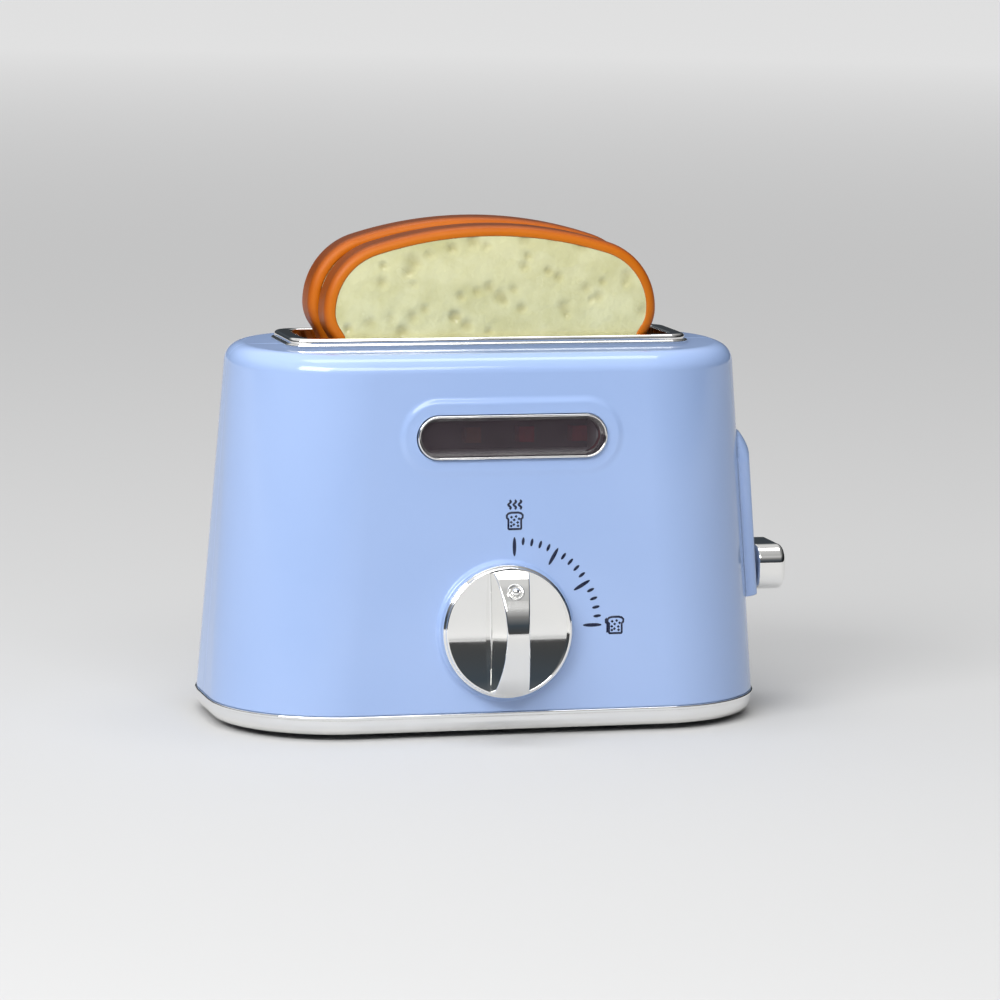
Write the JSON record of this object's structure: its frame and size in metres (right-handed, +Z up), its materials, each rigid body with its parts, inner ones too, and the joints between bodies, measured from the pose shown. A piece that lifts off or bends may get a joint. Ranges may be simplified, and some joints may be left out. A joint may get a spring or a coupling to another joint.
{
  "type": "toy pop-up toaster",
  "caption": "Toy pop-up toaster with play bread slices on a lever-raised carriage, a turning timer knob, a chromed slot frame and a lamp window.",
  "frame": {"origin": "on the table, under the middle of the whole toy's box", "axes": "+X to the toaster's right as its front is faced, +Y to its back, +Z up"},
  "size_m": [0.1806, 0.105, 0.151],
  "materials": {
    "blue_shell": "polished moulded styrene plastic, light blue",
    "bright_trim": "plastic with a mirror-bright metallised coat",
    "grey_inner": "plain moulded plastic, dark grey",
    "smoked_lens": "clear plastic with a dark red-brown smoke",
    "circuit_board": "green lacquered board",
    "red_lamp": "red moulded lamp body",
    "white_acetal": "white slippery moulded plastic",
    "steel": "bright drawn or plated steel",
    "black_plastic": "black moulded plastic",
    "foot_rubber": "soft dark rubber",
    "crust_brown": "satin moulded plastic, orange brown",
    "bread_cream": "satin moulded plastic, cream"
  },
  "bodies": {
    "housing": {"front_shell": "blue_shell", "rear_shell": "blue_shell", "slot_frame": "bright_trim", "bread_well": "grey_inner", "window_bezel": "bright_trim", "window_lens": "smoked_lens", "lamp_box": "grey_inner", "lamp_board": "circuit_board", "lamps": "red_lamp", "timer_case": "white_acetal", "guide_rod": "steel", "base_skirt": "bright_trim", "bottom_plate": "grey_inner", "battery_door": "grey_inner", "battery_contacts": "steel", "loudspeaker": "black_plastic", "switch_case": "black_plastic", "main_board": "circuit_board", "rubber_feet": "foot_rubber"},
    "knob": {"knob": "bright_trim", "knob_pointer": "bright_trim", "knob_shaft": "white_acetal"},
    "carriage": {"carriage": "grey_inner", "lever_handle": "bright_trim"},
    "power_switch": {"switch_slider": "black_plastic"},
    "front_slice": {"front_slice_crust": "crust_brown", "front_slice_faces": "bread_cream"},
    "rear_slice": {"rear_slice_crust": "crust_brown", "rear_slice_faces": "bread_cream"}
  },
  "joints": [
    {"name": "knob_turn", "type": "hinge", "parent": "housing", "child": "knob", "pos_m": [-0.00764, -0.03646, 0.0318], "axis": [0, 0.9979, -0.064], "range_deg": [0, 90]},
    {"name": "carriage_slide", "type": "slide", "parent": "housing", "child": "carriage", "axis": [0, 0, 1], "range_m": [0, 0.026]},
    {"name": "front_slice_lift", "type": "slide", "parent": "carriage", "child": "front_slice", "axis": [0, 0, 1], "range_m": [0, 0.062]},
    {"name": "rear_slice_lift", "type": "slide", "parent": "carriage", "child": "rear_slice", "axis": [0, 0, 1], "range_m": [0, 0.062]},
    {"name": "switch_slide", "type": "slide", "parent": "housing", "child": "power_switch", "axis": [1, 0, 0], "range_m": [0, 0.003]}
  ]
}
